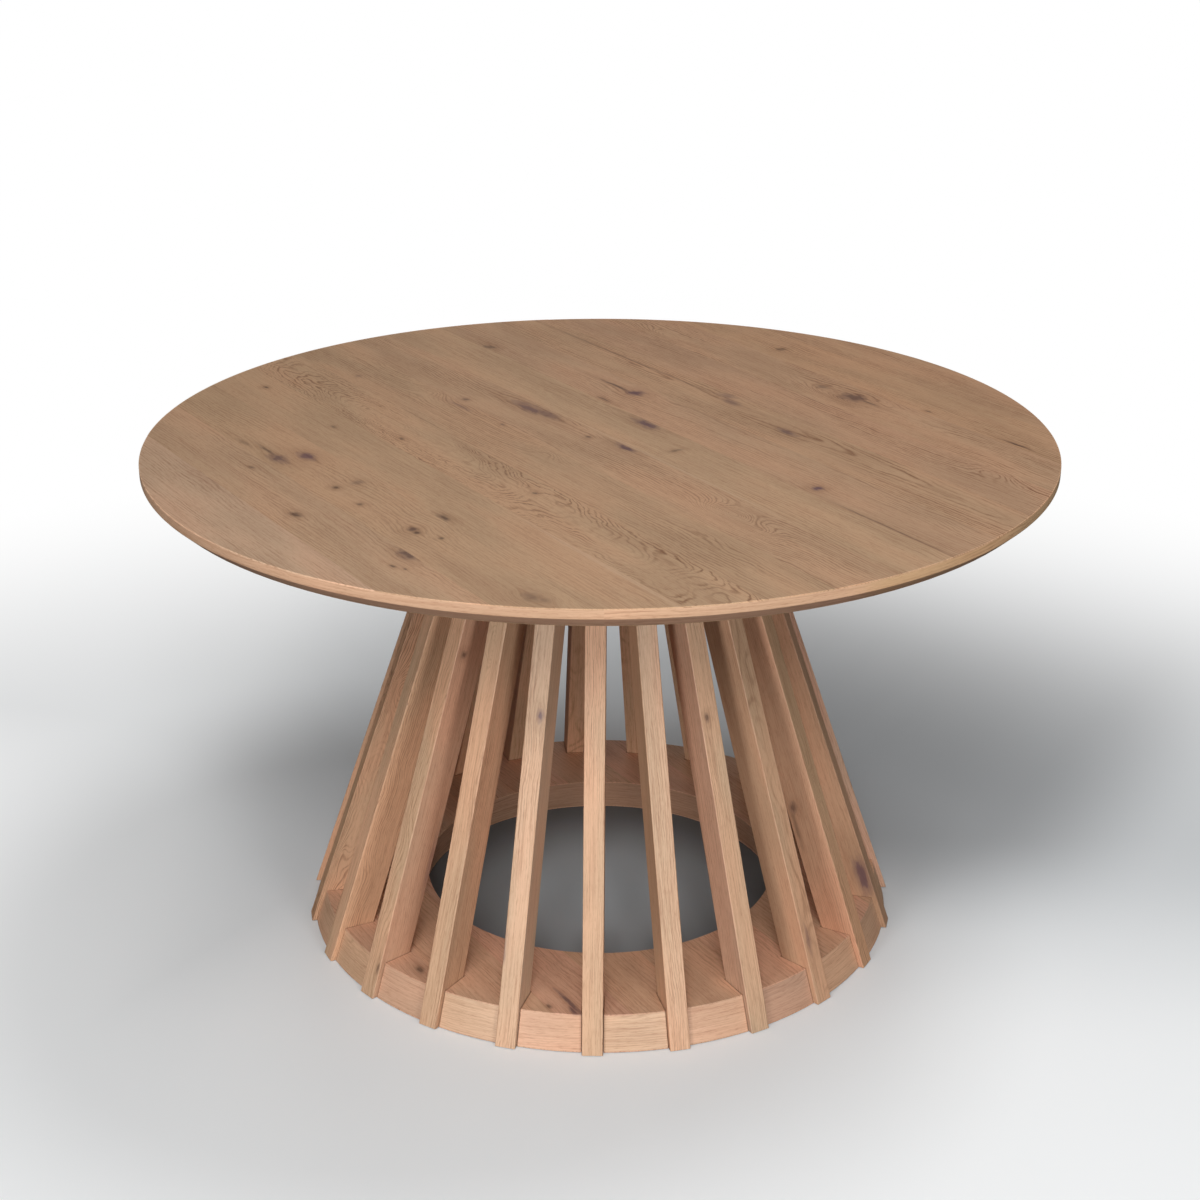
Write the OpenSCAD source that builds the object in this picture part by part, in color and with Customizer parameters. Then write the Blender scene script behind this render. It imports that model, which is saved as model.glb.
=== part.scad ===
// Round pedestal table: a veneered round top on a flared cage of slats let into two rings.
// Origin on the floor under the centre of the top, +Z up, the first slat towards -Y. Millimetres.

/* [Table] */
// Height from the floor to the top surface
table_h = 750; // [700:1:780]
// Diameter of the tabletop
top_d = 1300; // [1100:10:1500]

/* [Tabletop] */
// Thickness of the core board
core_t = 25.5; // [22:0.5:32]
// Thickness of the oak leaves on top
leaf_t = 1.5; // [1.2:0.1:2.5]
// Thickness of the balancing sheet underneath
backing_t = 1.5; // [0.8:0.1:2.5]
// Width of one oak leaf
leaf_w = 91.5; // [80:0.5:120]
// Distance of the middle seam from the centre of the top
leaf_shift = 3; // [-10:0.5:10]
// Direction of the grain, turned from the X axis
leaf_angle = -55.5; // [-90:0.5:90]
// Number of curved pieces in the solid lipping
lipping_count = 6; // [4:1:8]
// Radial width of the lipping
lipping_w = 45; // [35:1:60]
// Turn of the first lipping joint from the first slat
lipping_turn = 1.8; // [0:0.1:10]
// Height of the upright band round the rim
rim_band_h = 13; // [8:0.5:18]
// How far the bevel under the rim runs inwards
bevel_w = 17; // [10:0.5:25]
// Easing of the rim's top edge
rim_ease = 1; // [0.4:0.1:1.1]

/* [Slats] */
// Number of slats round the pedestal
slat_count = 23; // [17:1:25]
// Width of a slat across its outer face
slat_w = 29; // [22:0.5:32]
// Depth of a slat from its outer to its inner face
slat_depth = 50; // [40:1:58]
// Radius of the slats' outer faces at the foot
foot_r = 451; // [420:1:480]
// Radius of the slats' outer faces under the top
head_r = 201; // [185:1:240]

/* [Rings] */
// Height of the base ring
ring_h = 50; // [40:1:70]
// Radius of the opening in the base ring, at its top face
ring_bore_r = 268; // [240:1:290]
// How much wider the opening is at the floor
ring_bore_flare = 8; // [0:1:12]
// How far the slats stand out of both rings, measured level
slat_proud = 7.5; // [4:0.5:12]
// Clearance on each side of a slat in its slot
slot_gap = 0.7; // [0.3:0.1:1.2]
// Thickness of the veneer on the base ring's flat faces
ring_veneer_t = 1.5; // [0.8:0.1:2.5]
// Thickness of the strips on the base ring's outer edge
edge_strip_t = 4; // [2:0.5:6]
// Thickness of the band that lines the base ring's opening
bore_band_t = 3; // [1.5:0.5:5]
// Height of the upper ring
upper_ring_h = 40; // [32:1:50]
// Radius of the opening in the upper ring
upper_bore_r = 60; // [40:1:64]

/* [Dowels] */
// Diameter of the dowels between slats and rings
dowel_d = 10; // [6:0.5:12]
// Length of a dowel inside a ring
dowel_in_ring = 25; // [15:1:26]
// Length of a dowel inside a slat
dowel_in_slat = 25; // [15:1:30]
// Radial clearance of a dowel in its bore
dowel_gap = 0.1; // [0.05:0.01:0.2]
// Room for glue at each end of a dowel
glue_gap = 0.8; // [0.4:0.1:0.9]

/* [Bolts] */
// Number of bolts that hold the top to the upper ring
bolt_count = 8; // [4:1:10]
// Radius of the circle the bolts stand on
bolt_circle_r = 98; // [85:1:104]
// Diameter of a bolt's shank
bolt_d = 8; // [6:1:10]
// Length of a bolt under its head
bolt_len = 55; // [50:1:58]
// Diameter of a bolt's head
bolt_head_d = 13; // [12:0.5:16]
// Height of a bolt's head
bolt_head_h = 8; // [6:0.5:10]
// Width across the flats of the key socket in the head
key_w = 6; // [5:1:8]
// Depth of the key socket
key_depth = 4; // [3:0.5:5]
// Clearance round a bolt in the ring
bolt_gap = 0.5; // [0.3:0.1:1]
// Diameter of a washer
washer_d = 24; // [18:1:28]
// Thickness of a washer
washer_t = 2; // [1:0.5:3]
// Outer diameter of a threaded insert
insert_d = 12; // [11:0.5:16]
// Length of a threaded insert
insert_len = 18; // [15:1:20]
// Fine clearance round and over the inserts
insert_gap = 0.1; // [0.05:0.01:0.2]

/* [Glides] */
// Number of floor glides
glide_count = 12; // [6:1:16]
// Radius of the circle the glides stand on
glide_circle_r = 335; // [315:1:360]
// Diameter of a glide
glide_d = 24; // [16:1:30]
// Thickness of a glide
glide_t = 4; // [3:0.5:6]
// How far the glides stand out below the wood
glide_out = 1; // [0.5:0.1:2]
// Clearance of a glide in its pocket
glide_gap = 0.3; // [0.2:0.05:0.6]
// Diameter of the nail in a glide
nail_d = 2.4; // [2:0.1:3]
// Diameter of the nail's head
nail_head_d = 5.6; // [4:0.1:8]
// Thickness of the nail's head
nail_head_t = 1.2; // [0.8:0.1:1.5]
// Length of the nail under its head
nail_len = 15; // [10:1:20]
// Fine clearance round the nail and its head
nail_gap = 0.1; // [0.05:0.01:0.2]

/* [Hidden] */
$fn = 192;
// How far a cut reaches past the face it starts from
cut = 2;

OAK_TOP = "#a88768";
OAK_RIM = "#cfa888";
OAK_SLAT = "#c9a684";
OAK_RING = "#b8937a";
BOARD = "#a08a6c";
BIRCH = "#d6bd97";
BEECH = "#dcc09a";
STEEL = "#9a9da1";
ZINC = "#b9bcc0";
PLASTIC = "#2b2b2d";

top_r = top_d / 2;
foot_z = glide_out;
leaf_z = table_h - leaf_t;
core_z = leaf_z - core_t;
under_z = core_z - backing_t;
band_z = table_h - rim_band_h;
core_r = top_r - lipping_w;

// The slats lean inwards by this much for each millimetre they rise
lean = (foot_r - head_r) / (under_z - foot_z);
slat_level_depth = slat_depth / cos(atan(lean));
slat_step = 360 / slat_count;

ring_top_z = foot_z + ring_h;
ring_core_z = foot_z + ring_veneer_t;
ring_skin_z = ring_top_z - ring_veneer_t;
ring_dowel_z = foot_z + ring_h / 2;
upper_z = under_z - upper_ring_h;
upper_dowel_z = under_z - upper_ring_h / 2;

washer_z = upper_z - washer_t;
head_z = washer_z - bolt_head_h;
pocket_top_z = glide_t;
nail_head_z = nail_gap;

// Seams lie leaf_w apart, and no end leaf is narrower than the others
seam_first = -floor((top_r - leaf_w + leaf_shift) / leaf_w);
seam_last = floor((top_r - leaf_w - leaf_shift) / leaf_w);
seams = [for (j = [seam_first:seam_last]) leaf_shift + leaf_w * j];
leaf_edges = concat([-top_r - cut], seams, [top_r + cut]);
leaf_count = len(seams) + 1;

function outer_r(z) = foot_r - lean * (z - foot_z);
function inner_r(z) = outer_r(z) - slat_level_depth;
function ring_r(z) = outer_r(z) - slat_proud;
function bore_r(z) = ring_bore_r + ring_bore_flare * (ring_top_z - z) / ring_h;
function bevel_r(z) = top_r - bevel_w * (band_z - z) / (band_z - under_z);
function numbered(name, i) = str(name, i < 9 ? "_0" : "_", i + 1);

SLATS = [for (i = [0:slat_count - 1]) numbered("slat", i)];
LEAVES = [for (i = [0:leaf_count - 1]) numbered("top_leaf", i)];
LIPPINGS = [for (i = [0:lipping_count - 1]) numbered("rim_lipping", i)];

// Children stand on slat i's bearing, with local +X pointing outwards
module at_slat(i) {
    rotate([0, 0, i * slat_step - 90]) children();
}

module at_each_slat() {
    for (i = [0:slat_count - 1]) at_slat(i) children();
}

// Copies of the children on a circle, the first one half a step off the first slat
module on_circle(count, r) {
    for (i = [0:count - 1]) rotate([0, 0, (i + 0.5) * 360 / count - 90]) translate([r, 0, 0]) children();
}

// A leaning bar between two heights, with its inner face on the slats' inner faces
module leaning_bar(w, z0, z1, extra = 0) {
    rotate([90, 0, 0]) translate([0, 0, -w / 2]) linear_extrude(w) polygon([
        [inner_r(z0), z0],
        [outer_r(z0) + extra, z0],
        [outer_r(z1) + extra, z1],
        [inner_r(z1), z1]
    ]);
}

module slat_slots(z0, z1) {
    at_each_slat() leaning_bar(slat_w + 2 * slot_gap, z0 - cut, z1 + cut, cut);
}

// A level dowel across the joint between a slat and a ring
module dowel(z, gap = 0, end = 0) {
    length = dowel_in_ring + dowel_in_slat + 2 * end;
    translate([inner_r(z) - dowel_in_ring - end, 0, z]) rotate([0, 90, 0])
        cylinder(d = dowel_d + 2 * gap, h = length);
}

module dowel_bore(z) {
    dowel(z, dowel_gap, glue_gap);
}

module top_leaf(i) {
    color(OAK_TOP) intersection() {
        rotate_extrude() polygon([
            [0, leaf_z],
            [top_r, leaf_z],
            [top_r, table_h - rim_ease],
            [top_r - rim_ease, table_h],
            [0, table_h]
        ]);
        rotate([0, 0, leaf_angle]) translate([-top_d, leaf_edges[i], leaf_z - cut])
            cube([2 * top_d, leaf_edges[i + 1] - leaf_edges[i], leaf_t + 2 * cut]);
    }
}

module rim_lipping(i) {
    arc = 360 / lipping_count;
    color(OAK_RIM) rotate([0, 0, i * arc + lipping_turn - 90]) rotate_extrude(angle = arc) polygon([
        [core_r, core_z],
        [bevel_r(core_z), core_z],
        [top_r, band_z],
        [top_r, leaf_z],
        [core_r, leaf_z]
    ]);
}

module insert_bores() {
    on_circle(bolt_count, bolt_circle_r) translate([0, 0, under_z - cut])
        cylinder(d = insert_d + 2 * insert_gap, h = insert_len + insert_gap + cut);
}

module top_core() {
    color(BOARD) difference() {
        translate([0, 0, core_z]) cylinder(r = core_r, h = core_t);
        insert_bores();
    }
}

module top_backing() {
    color(OAK_RIM) difference() {
        rotate_extrude() polygon([
            [0, under_z],
            [bevel_r(under_z), under_z],
            [bevel_r(core_z), core_z],
            [0, core_z]
        ]);
        insert_bores();
    }
}

module upper_ring() {
    color(BIRCH) difference() {
        rotate_extrude() polygon([
            [upper_bore_r, upper_z],
            [ring_r(upper_z), upper_z],
            [ring_r(under_z), under_z],
            [upper_bore_r, under_z]
        ]);
        slat_slots(upper_z, under_z);
        at_each_slat() dowel_bore(upper_dowel_z);
        on_circle(bolt_count, bolt_circle_r) translate([0, 0, upper_z - cut])
            cylinder(d = bolt_d + 2 * bolt_gap, h = upper_ring_h + 2 * cut);
    }
}

module top_bolts() {
    color(STEEL) on_circle(bolt_count, bolt_circle_r) difference() {
        union() {
            translate([0, 0, head_z]) cylinder(d = bolt_head_d, h = bolt_head_h);
            translate([0, 0, washer_z]) cylinder(d = bolt_d, h = bolt_len);
        }
        translate([0, 0, head_z - cut]) cylinder(d = key_w / cos(30), h = key_depth + cut, $fn = 6);
    }
}

module bolt_washers() {
    color(ZINC) on_circle(bolt_count, bolt_circle_r) translate([0, 0, washer_z]) difference() {
        cylinder(d = washer_d, h = washer_t);
        translate([0, 0, -cut]) cylinder(d = bolt_d + 2 * bolt_gap, h = washer_t + 2 * cut);
    }
}

module threaded_inserts() {
    color(ZINC) on_circle(bolt_count, bolt_circle_r) translate([0, 0, under_z]) difference() {
        cylinder(d = insert_d, h = insert_len);
        translate([0, 0, -cut]) cylinder(d = bolt_d + 2 * insert_gap, h = insert_len + 2 * cut);
    }
}

module slat(i) {
    color(OAK_SLAT) at_slat(i) difference() {
        leaning_bar(slat_w, foot_z, under_z);
        dowel_bore(ring_dowel_z);
        dowel_bore(upper_dowel_z);
    }
}

module upper_ring_dowels() {
    color(BEECH) at_each_slat() dowel(upper_dowel_z);
}

module base_ring_dowels() {
    color(BEECH) at_each_slat() dowel(ring_dowel_z);
}

// A round band of the base ring between two heights, cut out round every slat.
// Its faces lie a given depth in from the ring's opening and from its outer edge.
module slotted_band(z0, z1, from_bore, from_edge) {
    difference() {
        rotate_extrude() polygon([
            [bore_r(z0) + from_bore, z0],
            [ring_r(z0) - from_edge, z0],
            [ring_r(z1) - from_edge, z1],
            [bore_r(z1) + from_bore, z1]
        ]);
        slat_slots(z0, z1);
    }
}

module glide_pockets() {
    on_circle(glide_count, glide_circle_r) {
        translate([0, 0, foot_z - cut]) cylinder(d = glide_d + 2 * glide_gap, h = pocket_top_z - foot_z + cut);
        cylinder(d = nail_d + 2 * nail_gap, h = nail_head_z + nail_head_t + nail_len + nail_gap);
    }
}

module base_ring_core() {
    color(BOARD) difference() {
        slotted_band(ring_core_z, ring_skin_z, bore_band_t, edge_strip_t);
        at_each_slat() dowel_bore(ring_dowel_z);
        glide_pockets();
    }
}

module base_ring_top_veneer() {
    color(OAK_RING) slotted_band(ring_skin_z, ring_top_z, 0, 0);
}

module base_ring_bottom_veneer() {
    color(OAK_RING) difference() {
        slotted_band(foot_z, ring_core_z, 0, 0);
        glide_pockets();
    }
}

// One strip between each pair of slats
module base_ring_edge_strips() {
    color(OAK_RIM) difference() {
        rotate_extrude() polygon([
            [ring_r(ring_core_z) - edge_strip_t, ring_core_z],
            [ring_r(ring_core_z), ring_core_z],
            [ring_r(ring_skin_z), ring_skin_z],
            [ring_r(ring_skin_z) - edge_strip_t, ring_skin_z]
        ]);
        slat_slots(ring_core_z, ring_skin_z);
    }
}

module base_ring_bore_band() {
    color(OAK_RING) rotate_extrude() polygon([
        [bore_r(ring_core_z), ring_core_z],
        [bore_r(ring_core_z) + bore_band_t, ring_core_z],
        [bore_r(ring_skin_z) + bore_band_t, ring_skin_z],
        [bore_r(ring_skin_z), ring_skin_z]
    ]);
}

module floor_glides() {
    color(PLASTIC) on_circle(glide_count, glide_circle_r) difference() {
        cylinder(d = glide_d, h = glide_t);
        translate([0, 0, -cut]) cylinder(d = nail_head_d + 2 * nail_gap, h = nail_head_z + nail_head_t + cut);
        cylinder(d = nail_d + 2 * nail_gap, h = glide_t + cut);
    }
}

module glide_nails() {
    color(STEEL) on_circle(glide_count, glide_circle_r) translate([0, 0, nail_head_z]) {
        cylinder(d = nail_head_d, h = nail_head_t);
        cylinder(d = nail_d, h = nail_head_t + nail_len);
    }
}

for (i = [0:leaf_count - 1]) top_leaf(i);
for (i = [0:lipping_count - 1]) rim_lipping(i);
top_core();
top_backing();
upper_ring();
top_bolts();
bolt_washers();
threaded_inserts();
for (i = [0:slat_count - 1]) slat(i);
upper_ring_dowels();
base_ring_dowels();
base_ring_core();
base_ring_top_veneer();
base_ring_bottom_veneer();
base_ring_edge_strips();
base_ring_bore_band();
floor_glides();
glide_nails();
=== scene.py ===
import math

import bmesh
import bpy
from mathutils import Matrix, Vector


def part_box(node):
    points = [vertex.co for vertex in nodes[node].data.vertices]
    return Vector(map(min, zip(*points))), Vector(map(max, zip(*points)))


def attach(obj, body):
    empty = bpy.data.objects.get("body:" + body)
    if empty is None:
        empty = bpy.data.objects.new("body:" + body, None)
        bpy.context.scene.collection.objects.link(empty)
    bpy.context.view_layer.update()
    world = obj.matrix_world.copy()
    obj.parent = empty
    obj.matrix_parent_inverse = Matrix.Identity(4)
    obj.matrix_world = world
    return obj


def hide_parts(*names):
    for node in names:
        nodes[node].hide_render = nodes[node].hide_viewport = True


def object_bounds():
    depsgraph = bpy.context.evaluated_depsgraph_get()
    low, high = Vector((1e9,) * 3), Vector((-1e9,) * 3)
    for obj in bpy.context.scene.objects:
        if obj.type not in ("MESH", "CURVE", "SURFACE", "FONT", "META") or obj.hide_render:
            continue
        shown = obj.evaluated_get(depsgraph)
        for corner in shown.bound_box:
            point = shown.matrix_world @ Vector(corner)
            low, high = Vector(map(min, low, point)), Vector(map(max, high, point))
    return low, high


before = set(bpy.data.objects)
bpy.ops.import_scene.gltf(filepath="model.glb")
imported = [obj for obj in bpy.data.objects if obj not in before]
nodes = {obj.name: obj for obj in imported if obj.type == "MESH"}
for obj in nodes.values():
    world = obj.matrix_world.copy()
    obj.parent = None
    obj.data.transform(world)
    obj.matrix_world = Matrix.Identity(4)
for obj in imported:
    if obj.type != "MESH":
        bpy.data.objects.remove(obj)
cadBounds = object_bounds()
print("frame loaded,", len(nodes), "nodes")


# maths on fields adds Math nodes, and every other node comes from Look.node
class Field:
    def __init__(self, look, socket):
        self.look, self.socket = look, socket

    def calc(self, operation, *terms):
        return self.look.node("ShaderNodeMath", {"operation": operation}, dict(enumerate(terms)))

    def __add__(self, other):
        return self.calc("ADD", self, other)

    def __sub__(self, other):
        return self.calc("SUBTRACT", self, other)

    def __rsub__(self, other):
        return self.calc("SUBTRACT", other, self)

    def __mul__(self, other):
        return self.calc("MULTIPLY", self, other)

    def __truediv__(self, other):
        return self.calc("DIVIDE", self, other)

    def __rtruediv__(self, other):
        return self.calc("DIVIDE", other, self)

    def __pow__(self, other):
        return self.calc("POWER", self, other)

    def __mod__(self, other):
        return self.calc("MODULO", self, other)

    __radd__, __rmul__ = __add__, __mul__


class Look:
    def __init__(self, tree):
        self.tree = tree
        tree.nodes.clear()

    def node(self, kind, settings=None, inputs=None, output=0):
        made = self.tree.nodes.new(kind)
        for key, value in (settings or {}).items():
            if key == "interpolation" and kind == "ShaderNodeValToRGB":
                made.color_ramp.interpolation = value
            elif key == "stops":
                ramp = made.color_ramp
                while len(ramp.elements) < len(value):
                    ramp.elements.new(1.0)
                for element, (position, colour) in zip(ramp.elements, value):
                    element.position, element.color = position, colour
            else:
                setattr(made, key, value)
        for key, value in (inputs or {}).items():
            if isinstance(value, Field):
                self.tree.links.new(value.socket, made.inputs[key])
            else:
                made.inputs[key].default_value = value
        return Field(self, made.outputs[output]) if len(made.outputs) else None

    def vector(self, x, y, z):
        return self.node("ShaderNodeCombineXYZ", None, {"X": x, "Y": y, "Z": z})

    def noise(self, vector, detail=2.0, roughness=0.5):
        return self.node("ShaderNodeTexNoise", None,
                         {"Vector": vector, "Scale": 1.0, "Detail": detail, "Roughness": roughness})

    def blend(self, share, first, second, kind="MIX"):
        settings = {"data_type": "RGBA", "blend_type": kind}
        return self.node("ShaderNodeMix", settings, {0: share, 6: first, 7: second}, 2)

    # a smooth change from start to end while the value goes from low to high
    def step(self, value, low, high, start=0.0, end=1.0):
        return self.node("ShaderNodeMapRange", {"interpolation_type": "SMOOTHSTEP"},
                         {0: value, 1: low, 2: high, 3: start, 4: end})

    def coordinates(self, origin=(0, 0, 0), turn=(0, 0, 0)):
        place = self.node("ShaderNodeTexCoord", None, None, "Object")
        turned = self.node("ShaderNodeMapping", {"vector_type": "TEXTURE"},
                           {"Vector": place, "Location": origin, "Rotation": turn})
        split = self.tree.nodes.new("ShaderNodeSeparateXYZ")
        self.tree.links.new(turned.socket, split.inputs[0])
        return [Field(self, split.outputs[axis]) for axis in range(3)]

    def around(self, x, y):
        return x.calc("ARCTAN2", y, x), x.calc("SQRT", x * x + y * y)


def paint(red, green, blue):  # screen colour of 0 to 255, as the linear colour a node wants
    return tuple(c / 12.92 if c <= 0.04045 else ((c + 0.055) / 1.055) ** 2.4
                 for c in (red / 255, green / 255, blue / 255)) + (1.0,)


def newLook(name):
    material = bpy.data.materials.new(name)
    material.use_nodes = True
    return material, Look(material.node_tree)


def surface(look, colour, roughness, height, depth, **constants):
    bump = look.node("ShaderNodeBump", None, {"Strength": 1.0, "Distance": depth, "Height": height})
    inputs = {"Base Color": colour, "Roughness": roughness, "Normal": bump, **constants}
    shader = look.node("ShaderNodeBsdfPrincipled", None, inputs)
    look.node("ShaderNodeOutputMaterial", None, {"Surface": shader})


oakFinish = {
    "light": (192, 160, 127),
    "dark": (140, 92, 63),
    "warm": (206, 158, 123),
    "grey": (186, 149, 118),
    "ringBrown": (118, 75, 46),
    "knotBrown": (88, 64, 50),
    "knotGrey": (84, 57, 80),
    "pale": (206, 176, 150),
    "halo": 0.2,  # how dark the wood is round a knot
    "roughness": 0.46,
    "poreDepth": 0.00012,
}

oakGrain = {  # how often per metre along and across, shares of the seed in x, y and z, detail, roughness
    "knotEnds": (45, 110, (0, 0, 1), 2.0, 0.6),
    "sway": (1.9, 6, (1, 0, 1), 1.0, 0.5),
    "jag": (45, 110, (0, -1, 0), 2.0, 0.55),
    "dashes": (38, 420, (1, 0, 1), 2.0, 0.6),  # a growth ring shows as short dashes
    "patches": (3.5, 22, (0, -1, 0), 2.0, 0.5),  # where the dashes fade
    "fibres": (9, 380, (1, 0, 0), 3.0, 0.75),
    "pores": (75, 850, (0, 0, 1), 2.0, 0.7),
    "clouds": (3.0, 11, (0, 1, 0), 2.0, 0.5),
    "shades": (1.3, 30, (-1, 0, 0), 3.0, 0.5),
}

plainWood = {  # what each piece of oak starts from; sizes are in metres
    "seed": 0.0,       # where in the noise this piece was cut
    "tone": 1.0,       # brightness, or red, green and blue, against the other pieces
    "tones": (),       # more tones, each with the share of it that shows at a place
    "warmth": 0.5,     # share of the warmer colour
    "ring": 0.0042,    # spacing of the growth rings
    "middle": 0.0,     # middle line of the piece
    "pith": (0.09, 0.05),  # sideways offset from the middle line, and distance, of the tree's heart
    "taper": 0.012,    # how fast the rings run out along the board
    "figure": 0.4,     # strength of the growth rings
    "sway": 0.02,      # slow wander of the rings
    "roll": (0.01, 5.0, 9.0),  # rise and fall of the rings, and how often along and across
    "jag": 0.0012,     # small raggedness of the rings
    "streaks": 0.5,    # strength of the straight fibres
    "swells": (),      # along, across, half length, half width, height, and depth if not 0
    "knots": (),       # along, across, half length, half width, strength, grey share, push, and depth
    "pales": (),       # along, across, half length, half width, strength
}


def oval(place, middle, halfLength, halfWidth):  # 0 at the middle of the oval and 1 on its rim
    halfSizes = (halfLength, halfWidth, halfWidth * 1.5)
    u, v, w = [(a - b) * (1 / size) for a, b, size in zip(place, middle, halfSizes)]
    return u * u + v * v + w * w


def mark(masks, stain, part):  # where two marks of a stain overlap, the stronger one shows
    masks[stain] = part.calc("MAXIMUM", masks[stain], part) if stain in masks else part


def oak(look, along, across, depth, **changes):
    wood = {**plainWood, **changes}
    seed = wood["seed"]

    def grain(name, sideways):
        often, oftenAcross, shifts, detail, roughness = oakGrain[name]
        parts = [along * often, sideways * oftenAcross, depth * oftenAcross]
        parts = [part + seed * shift if shift else part for part, shift in zip(parts, shifts)]
        return look.noise(look.vector(*parts), detail, roughness)

    place, masks, bent, swell = (along, across, depth), {}, across, None
    wobble = grain("knotEnds", across) - 0.5
    wobbleAcross = look.noise(look.vector(along * 38 + seed, across * 80 + 9, depth * 80), 2.0, 0.6) - 0.5
    for x, y, halfLength, halfWidth, strength, greyShare, push, *z in wood["knots"]:
        middle = (x, y, z[0] if z else 0.0)
        if push:
            around = oval(place, middle, halfLength * 2.5, halfWidth * 2.2) + 1
            bent = bent - (across - y) * push / around
        ragged = (along + wobble * (halfLength * 1.8), across + wobbleAcross * (halfWidth * 2.2), depth)
        spread = oval(ragged, middle, halfLength, halfWidth)
        core = look.step(spread, 2.6, 0.3) * 0.5 + look.step(spread, 0.8, 0.1) * 0.5
        mark(masks, "ringBrown", look.step(spread, 12.0, 1.5) * (strength * oakFinish["halo"]))
        mark(masks, "knotGrey", core * (strength * greyShare))
        mark(masks, "knotBrown", core * (strength * (1 - greyShare)))
    for x, y, halfLength, halfWidth, strength in wood["pales"]:
        smooth = (along, across + wobbleAcross * halfWidth, depth)
        spread = oval(smooth, (x, y, 0.0), halfLength, halfWidth)
        mark(masks, "pale", look.step(spread, 1.4, 0.2) * strength)
    for x, y, halfLength, halfWidth, height, *z in wood["swells"]:
        around = oval(place, (x, y, z[0] if z else 0.0), halfLength, halfWidth) + 1
        part = height / (around * around)
        swell = part if swell is None else swell + part
    # the growth rings lie round the tree's heart, and rise and sway along the board
    height, often, oftenAcross = wood["roll"]
    lean = look.noise(look.vector(along * often - seed, bent * oftenAcross + 7, depth * 9), 2.0, 0.55)
    side = bent - (wood["middle"] + wood["pith"][0]) + (grain("sway", bent) - 0.5) * wood["sway"]
    side = side + (grain("jag", bent) - 0.5) * (wood["jag"] * 4)
    rise = along * wood["taper"] + (lean - 0.5) * (height * 4) + depth + wood["pith"][1]
    if swell is not None:
        rise = rise + swell
    rings = (side * side + rise * rise) ** 0.5 * (1 / wood["ring"])
    # some years grow wide and some narrow
    rings = rings + look.noise(look.vector(rings * 0.5, seed, 0.0), 1.0) * 1.5
    ridge = rings.calc("PINGPONG", rings, 0.5) * 2
    ringLine = look.step(ridge, 0.45, 0.95) * look.step(grain("dashes", bent), 0.25, 0.6)
    ringLine = ringLine * look.step(grain("patches", across), 0.38, 0.6, 0.15, 1.0)
    cloud = grain("clouds", bent)
    warmth = look.step(cloud, 0.35, 0.65) * wood["warmth"]
    light = look.blend(warmth, paint(*oakFinish["light"]), paint(*oakFinish["warm"]))
    greyness = look.step(grain("shades", bent), 0.45, 0.75) * 0.4
    light = look.blend(greyness, light, paint(*oakFinish["grey"]))
    darkness = look.step(grain("fibres", bent), 0.42, 0.72) * wood["streaks"] * 0.6
    darkness = darkness + look.step(grain("pores", bent), 0.5, 0.75) * 0.35
    darkness = darkness + look.step(cloud, 0.55, 0.3) * 0.17
    colour = look.blend(darkness, light, paint(*oakFinish["dark"]))
    colour = look.blend(ringLine * wood["figure"], colour, paint(*oakFinish["ringBrown"]))
    for share, tone in ((1.0, wood["tone"]), *wood["tones"]):
        if isinstance(tone, (float, int)):
            tone = (tone, tone, tone)
        if tone != (1.0, 1.0, 1.0):
            colour = look.blend(share, colour, tone if isinstance(tone, Field) else (*tone, 1), "MULTIPLY")
    for stain, mask in masks.items():
        colour = look.blend(mask, colour, paint(*oakFinish[stain]))
    height = 1 - darkness * 0.6 - ringLine * 0.5
    surface(look, colour, darkness * 0.12 + oakFinish["roughness"], height, oakFinish["poreDepth"])


def turnAbout(angle):
    return Matrix.Rotation(angle, 4, "Z")


def roundOff(bm, edges, offset, segments):
    bmesh.ops.bevel(bm, geom=edges, offset=offset, offset_type="OFFSET", segments=segments, profile=0.5,
                    affect="EDGES", material=-1, clamp_overlap=True)


def smoothCurves(bm, flatArea):  # faces larger than flatArea stay flat
    for face in bm.faces:
        face.smooth = face.calc_area() < flatArea
    for edge in bm.edges:
        edge.smooth = len(edge.link_faces) == 2 and edge.calc_face_angle(0) < math.radians(40)


def addPiece(name, bm, material, slot, *stoodFor):  # stoodFor are the model's nodes that it hides
    mesh = bpy.data.meshes.new(name)
    bm.to_mesh(mesh)
    bm.free()
    piece = bpy.data.objects.new(name, mesh)
    bpy.context.scene.collection.objects.link(piece)
    mesh.materials.append(material)
    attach(piece, "root")
    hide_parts(*stoodFor)


def dress(material, *names):  # a node whose shape is right only gets a better material
    for name in names:
        for slot in nodes[name].material_slots:
            slot.material = material


def tableRadius():
    low, high = cadBounds
    return min(high.x, high.y, -low.x, -low.y)


def pieceSeed(settings, number):  # each piece is cut from another place in the noise
    first, step = settings["seeds"]
    return first + number * step


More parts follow.
